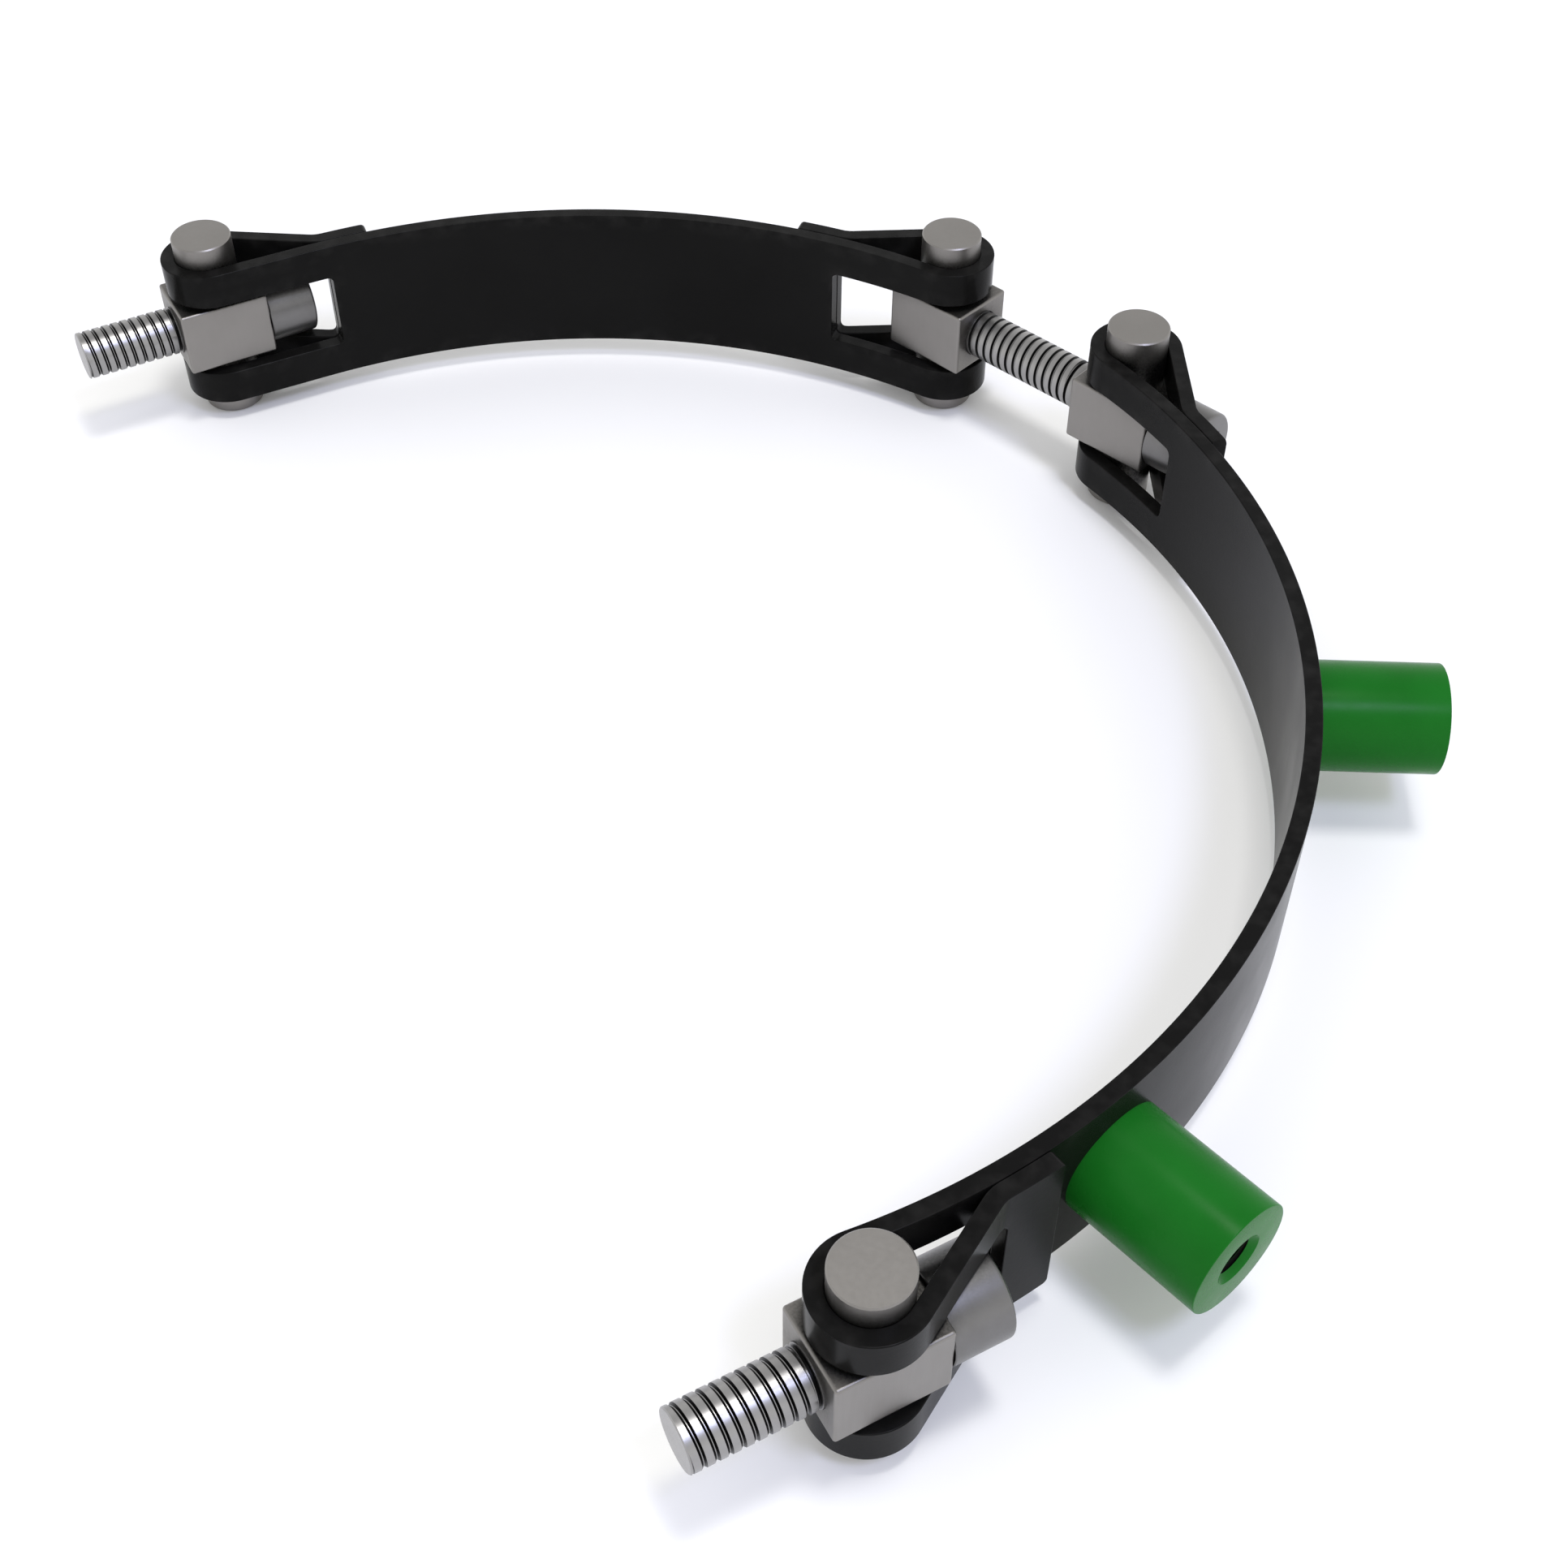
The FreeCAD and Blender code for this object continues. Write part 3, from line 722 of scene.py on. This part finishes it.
def ground_steel(name, grain):
    """Matte ground steel; grain gives the direction of its fine lines."""
    look = Look(name, 1.0, 0.5)
    cloud = look.noise(60, 4)
    colour = look.grade(cloud, [(0.3, (0.240, 0.229, 0.216)), (0.7, (0.258, 0.247, 0.234))])
    # Painted shade where other parts stand close.
    colour = look.painted_shade(colour, 0.9)
    lines = look.noise(700, 4, grain)
    roughness = look.span(lines, 0.37, 0.42)
    normal = look.bump(lines, 0.000008, 0.2)
    return look.finish(colour, roughness, look.bump(look.noise(2500, 2), 0.000012, 0.3, normal))


def bolt_steel():
    """Bright rolled steel, with painted shade in its thread grooves, socket, neck, seat and
    head.
    """
    look = Look("bolt_rolled_steel", 1.0, 0.5)
    speckle = look.noise(4200, 2)
    colour = look.grade(
        look.noise(220, 4), [(0.3, (0.30, 0.294, 0.288)), (0.7, (0.33, 0.325, 0.322))]
    )
    # Painted shade from the mesh's shade values: thread flanks, socket, neck, seat and head.
    colour = look.mix(look.attribute("shade"), colour, BOLT_SHADE_COLOUR)
    # Painted shade where other parts stand close.
    colour = look.painted_shade(colour, 0.6)
    roughness = look.span(speckle, 0.31, 0.42)
    return look.finish(colour, roughness, look.bump(speckle, 0.000008, 0.5))


def boss_paint():
    """Satin green paint, with a bare thread inside the hole that is painted near black as shade.
    """
    look = Look("boss_green_paint", 0.0, 0.07)
    colour = look.grade(
        look.noise(40, 4), [(0.3, (0.006, 0.110, 0.009)), (0.7, (0.009, 0.137, 0.013))]
    )
    # Bare thread in the hole, darkened to near black as painted shade.
    bare_and_shaded = look.span(look.attribute("shade"), 0.0, 1.0, 0.0, 0.3)
    colour = look.mix(bare_and_shaded, colour, BARE_SHADED_THREAD)
    roughness = look.span(look.noise(150, 3), 0.24, 0.30)
    return look.finish(colour, roughness, look.bump(look.noise(1300, 2), 0.00003, 0.3))


def floor_paint():
    """A plain pale floor with a faint mottle."""
    look = Look("pale_floor", 0.0, 0.2)
    colour = look.grade(
        look.noise(3, 2), [(0.3, (0.91, 0.91, 0.91)), (0.7, (0.93, 0.93, 0.93))]
    )
    roughness = look.span(look.noise(8, 2), 0.75, 0.85)
    return look.finish(colour, roughness, look.bump(look.noise(60, 2), 0.0001, 0.05))


# ---------------------------------------------------------------- the object

STRAIGHT_ANGLE = math.radians(119.1)
END_BOLT_LENGTH = 63.3 * MM
END_BOLT_PLAIN = 15.8 * MM
LINK_BOLT_LENGTH = 100.0 * MM
LINK_BOLT_PLAIN = 20.0 * MM
UPPER_BOSS_ANGLE = 0.0
LOWER_BOSS_ANGLE = math.radians(-45)
looks = {
    "strap_black": strap_paint(),
    "bolt_steel": bolt_steel(),
    "boss_green": boss_paint(),
}
block_look = ground_steel("trunnion_block_steel", (1.0, 1.0, 0.12))
pin_look = ground_steel("trunnion_pin_steel", (1.0, 1.0, 3.0))

BOLTS = (
    ("link_bolt", "link_bolt_turn", LINK_BOLT_LENGTH, LINK_BOLT_PLAIN),
    ("left_bolt", "left_bolt_spin", END_BOLT_LENGTH, END_BOLT_PLAIN),
    ("lower_bolt", "lower_bolt_spin", END_BOLT_LENGTH, END_BOLT_PLAIN),
)

long_strap = build_strap(
    "long_strap_bar",
    strap_end("lower_trunnion_hinge", 1),
    strap_end("link_trunnion_hinge", -1),
)
short_strap = build_strap(
    "short_strap_bar",
    strap_end("short_strap_hinge", 1),
    strap_end("left_trunnion_hinge", -1, STRAIGHT_ANGLE),
)
made = [
    (long_strap, "long_strap", "long_strap", "strap_black"),
    (short_strap, "short_strap", "short_strap", "strap_black"),
]
for node, angle in (("upper_boss", UPPER_BOSS_ANGLE), ("lower_boss", LOWER_BOSS_ANGLE)):
    made.append((build_boss(node + "_turned", angle), node, "long_strap", "boss_green"))
for node, turn, length, plain in BOLTS:
    made.append((build_bolt(node + "_threaded", turn, length, plain), node, node, "bolt_steel"))
for piece, node, body, slot in made:
    piece.data.materials.append(looks[slot])
    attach(piece, body)
    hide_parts(node)

for node, piece in frame["nodes"].items():
    if "trunnion" not in node:
        continue
    piece.data.materials.clear()
    piece.data.materials.append(pin_look if node.endswith("pin") else block_look)

# ----------------------------------------------------- floor, light, camera

FLOOR_GAP = 0.3 * MM
FLOOR_SIDE = 8.0
HORIZON_LIGHT = 1.38
ZENITH_LIGHT = 0.58
CAMERA_LENS = 49.80
CAMERA_SENSOR = 36.0
CAMERA_CLIP = (0.01, 50.0)
CAMERA_PLACE = (0.08588, -0.44507, 0.43647)
CAMERA_TURN = (43.35, 0.0, 2.43)

floor_height = cad_box[0].z - FLOOR_GAP
half_side = FLOOR_SIDE / 2
floor = make_object(
    "floor",
    [(x, y, floor_height) for x, y in (
        (-half_side, -half_side), (half_side, -half_side),
        (half_side, half_side), (-half_side, half_side),
    )],
    [(0, 1, 2, 3)],
)
floor.data.materials.append(floor_paint())


def add_dome_light(horizon, zenith):
    """White light from all round, graded from the horizon to the zenith."""
    world = bpy.data.worlds.new("studio")
    bpy.context.scene.world = world
    world.use_nodes = True
    nodes, links = world.node_tree.nodes, world.node_tree.links
    background = nodes["Background"]
    background.inputs["Color"].default_value = (1.0, 1.0, 1.0, 1.0)
    ray = nodes.new("ShaderNodeTexCoord")
    height = nodes.new("ShaderNodeSeparateXYZ")
    grade = nodes.new("ShaderNodeMapRange")
    grade.inputs["To Min"].default_value = horizon
    grade.inputs["To Max"].default_value = zenith
    links.new(ray.outputs["Generated"], height.inputs["Vector"])
    links.new(height.outputs["Z"], grade.inputs["Value"])
    links.new(grade.outputs["Result"], background.inputs["Strength"])


def add_area_light(name, place, side, power, colour):
    """A square lamp that shines on the frame's origin."""
    data = bpy.data.lights.new(name, "AREA")
    data.shape = "SQUARE"
    data.size = side
    data.energy = power
    data.color = colour
    light = bpy.data.objects.new(name, data)
    bpy.context.scene.collection.objects.link(light)
    light.location = place
    light.rotation_euler = (-Vector(place)).to_track_quat("-Z", "Y").to_euler()


add_dome_light(HORIZON_LIGHT, ZENITH_LIGHT)
add_area_light("key", place=(0.3, -0.1, 2.0), side=0.4, power=14.0, colour=(1.0, 0.99, 0.97))
add_area_light("fill", place=(0.75, -0.8, 1.75), side=0.4, power=11.0, colour=(0.64, 0.68, 1.0))

camera_data = bpy.data.cameras.new("camera")
camera_data.lens = CAMERA_LENS
camera_data.sensor_width = CAMERA_SENSOR
camera_data.clip_start, camera_data.clip_end = CAMERA_CLIP
camera = bpy.data.objects.new("camera", camera_data)
bpy.context.scene.collection.objects.link(camera)
camera.location = CAMERA_PLACE
camera.rotation_euler = [math.radians(angle) for angle in CAMERA_TURN]
bpy.context.scene.camera = camera
bpy.context.scene.view_settings.view_transform = "Standard"
